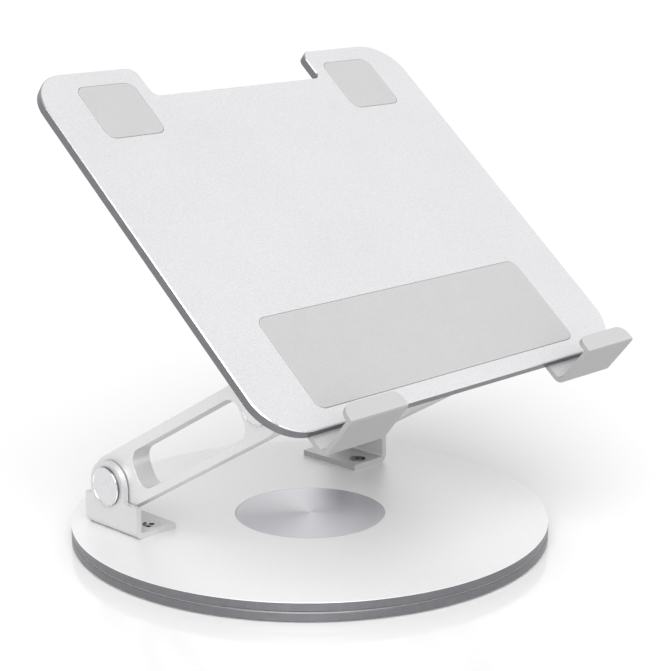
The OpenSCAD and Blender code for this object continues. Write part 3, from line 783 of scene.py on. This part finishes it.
class STAND_OT_tray_brackets(bpy.types.Operator):
    """Bend the two brackets that hang from the tray and carry the upper hinges"""

    bl_idname = "stand.tray_brackets"
    bl_label = "Tray brackets"

    def execute(self, context):
        sizes = context.scene.stand_sizes
        sheet, ear = sizes.bracket_sheet, sizes.ear_radius
        x0, x1 = TRAY_EAR[0].x, TRAY_EAR[1].x
        y0, y1 = 19.5 * MM, 53.5 * MM
        top, axis = -sizes.tray_thickness, sizes.pivot_up
        low = -sizes.pivot_drop - ear
        section = rounded([(x0, top, 0), (x1, top, 0.8 * MM + sheet), (x1, low - OVERCUT, 0),
                           (x1 - sheet, low - OVERCUT, 0), (x1 - sheet, top - sheet, 0.8 * MM),
                           (x0, top - sheet, 0)])
        bracket = prism("right_tray_angle", on_front(section, y0 - OVERCUT), Vector((0, y1 - y0 + 2 * OVERCUT, 0)))
        shoulder = top - 8 * MM
        outline = rounded([(y0, top, 0), (y1, top, 0), (y1, shoulder, 0), (axis + ear, shoulder, 0),
                           (axis + ear, low, ear), (axis - ear, low, ear), (axis - ear, shoulder, 0),
                           (y0, shoulder, 0)])
        combine(bracket, prism("ear_tool", on_side(outline, x0 - OVERCUT), Vector((x1 - x0 + 2 * OVERCUT, 0, 0))),
                "INTERSECT")
        middle = (y0 + y1) / 2
        for side in (-1, 1):
            drill(bracket, Vector((x1 - 13 * MM, middle + side * 11 * MM, top - sheet)), Vector((0, 0, 1)),
                  1.5 * MM + PLAY, sheet + OVERCUT, 2.8 * MM + PLAY, 1.3 * MM)
        break_edges(bracket, 0.3 * MM)
        paint(bracket, [MATERIALS["bracket"]])
        place(bracket, in_tray(sizes))
        other = mirrored(bracket, "left_tray_angle")
        mount(bracket, "tray", "bracket_metal", "right_tray_bracket")
        mount(other, "tray", "bracket_metal", "left_tray_bracket")
        return {"FINISHED"}


# ---------- small parts from the CAD model ----------


class STAND_OT_fittings(bpy.types.Operator):
    """Finish the screws, pins, washers, nuts, bearing and mat"""

    bl_idname = "stand.fittings"
    bl_label = "Fittings"

    def execute(self, context):
        finishes = {
            "steel": ("lower_race", "upper_race", "swivel_bolt", "swivel_nut", "bearing_balls",
                      "base_bracket_screws", "hook_screws", "tray_bracket_screws",
                      "left_lower_pin", "right_lower_pin", "left_upper_pin", "right_upper_pin",
                      "lower_spring_washers", "upper_spring_washers", "lower_lock_nuts", "upper_lock_nuts"),
            "nylon": ("swivel_washer", "lower_friction_washers", "upper_friction_washers"),
            "cage": ("bearing_cage",),
            "mat": ("base_mat",),
        }
        for finish, names in finishes.items():
            for name in names:
                slots = frame["nodes"][name].material_slots
                for slot in slots:
                    slot.material = MATERIALS[finish]
        return {"FINISHED"}


# ---------- stage ----------


class STAND_OT_stage(bpy.types.Operator):
    """Set up the floor, the soft light and the camera"""

    bl_idname = "stand.stage"
    bl_label = "Stage"

    def execute(self, context):
        scene = context.scene
        select_none()
        bpy.ops.mesh.primitive_plane_add(size=40, location=(0, 0, 0))
        floor = context.object
        floor.name = "studio_floor"
        material, tree, shader, coords = start_material("white_lacquer_floor", {
            "Base Color": linear("#ebebeb"), "Roughness": 0.14, "IOR": 1.75})
        floor.data.materials.append(material)

        world = bpy.data.worlds.new("studio_light")
        scene.world = world
        world.use_nodes = True
        sky = world.node_tree
        coords = add(sky, "ShaderNodeTexCoord")
        height = add(sky, "ShaderNodeSeparateXYZ", links={0: coords.outputs["Generated"]})
        tone = add(sky, "ShaderNodeMapRange", values={"To Min": 1.06, "To Max": 0.5}, links={0: height.outputs["Z"]})
        sky.links.new(tone.outputs["Result"], sky.nodes["Background"].inputs["Strength"])
        sky.nodes["Background"].inputs["Color"].default_value = (1, 1, 1, 1)

        light = bpy.data.lights.new("key_light", "SUN")
        light.energy = 2.8
        light.angle = math.radians(50)
        lamp = bpy.data.objects.new("key_light", light)
        scene.collection.objects.link(lamp)
        lamp.location = (-0.58, -0.54, 0.8)
        lamp.rotation_euler = lamp.location.to_track_quat("Z", "Y").to_euler()

        lens = bpy.data.cameras.new("camera")
        lens.lens = 98.85
        lens.sensor_width = 36
        lens.clip_start = 0.01
        lens.clip_end = 100
        camera = bpy.data.objects.new("camera", lens)
        scene.collection.objects.link(camera)
        camera.location = (-0.51717, -0.52489, 0.27052)
        camera.rotation_euler = (math.radians(90 - 14.12), 0, math.radians(-45.39))
        scene.camera = camera
        scene.view_settings.view_transform = "Standard"
        return {"FINISHED"}


# ---------- add-on ----------


class STAND_PT_panel(bpy.types.Panel):
    """Lists the pieces of the stand"""

    bl_label = "Tablet stand"
    bl_idname = "STAND_PT_panel"
    bl_space_type = "VIEW_3D"
    bl_region_type = "UI"
    bl_category = "Stand"

    def draw(self, context):
        for operator in OPERATORS:
            self.layout.operator(operator.bl_idname)
        for group in (context.scene.stand_sizes, context.scene.stand_finishes):
            column = self.layout.column()
            for name in group.__annotations__:
                column.prop(group, name)


OPERATORS = (STAND_OT_stage, STAND_OT_base, STAND_OT_base_brackets, STAND_OT_arms, STAND_OT_caps,
             STAND_OT_tray, STAND_OT_pads, STAND_OT_hooks, STAND_OT_tray_brackets, STAND_OT_fittings)
CLASSES = (StandSizes, StandFinishes, *OPERATORS, STAND_PT_panel)


def register():
    for kind in CLASSES:
        bpy.utils.register_class(kind)
    bpy.types.Scene.stand_sizes = PointerProperty(type=StandSizes)
    bpy.types.Scene.stand_finishes = PointerProperty(type=StandFinishes)


def unregister():
    del bpy.types.Scene.stand_finishes
    del bpy.types.Scene.stand_sizes
    for kind in reversed(CLASSES):
        bpy.utils.unregister_class(kind)


def main():
    register()
    make_materials(bpy.context.scene.stand_finishes)
    bpy.ops.stand.stage()
    bpy.ops.stand.base()
    bpy.ops.stand.base_brackets()
    bpy.ops.stand.arms()
    bpy.ops.stand.caps()
    bpy.ops.stand.tray()
    bpy.ops.stand.pads()
    bpy.ops.stand.hooks()
    bpy.ops.stand.tray_brackets()
    bpy.ops.stand.fittings()


if __name__ == "__main__":
    main()
